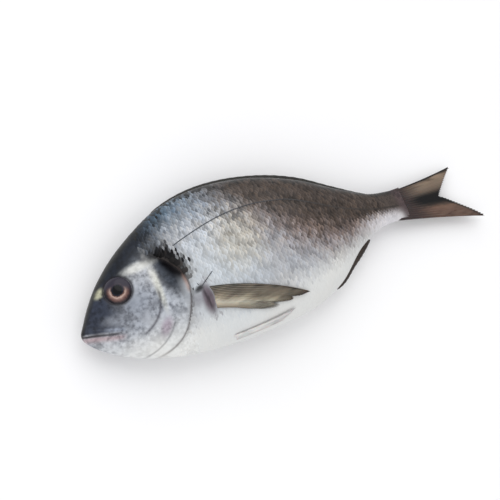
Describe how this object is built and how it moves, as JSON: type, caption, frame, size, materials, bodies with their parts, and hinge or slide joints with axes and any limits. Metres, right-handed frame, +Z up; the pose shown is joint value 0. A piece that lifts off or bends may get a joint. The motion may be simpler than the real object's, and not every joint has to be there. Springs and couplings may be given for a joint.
{
  "type": "whole raw fish",
  "caption": "Whole raw sea bream, uncut with scales and fins on, lying on its side with folded fins and a forked tail.",
  "frame": {"origin": "under the middle of the fish's box, on the surface it lies on", "axes": "+X from snout to tail, +Y towards the back, +Z up, towards the left flank"},
  "size_m": [0.2975, 0.1056, 0.0395],
  "materials": {
    "wet_skin": "wet silvery skin with scales",
    "fin_membrane": "thin wet fin skin over fine rays",
    "eye": "clear wet eye with a copper ring"
  },
  "bodies": {
    "root": {"fish": "wet_skin"}
  },
  "joints": []
}
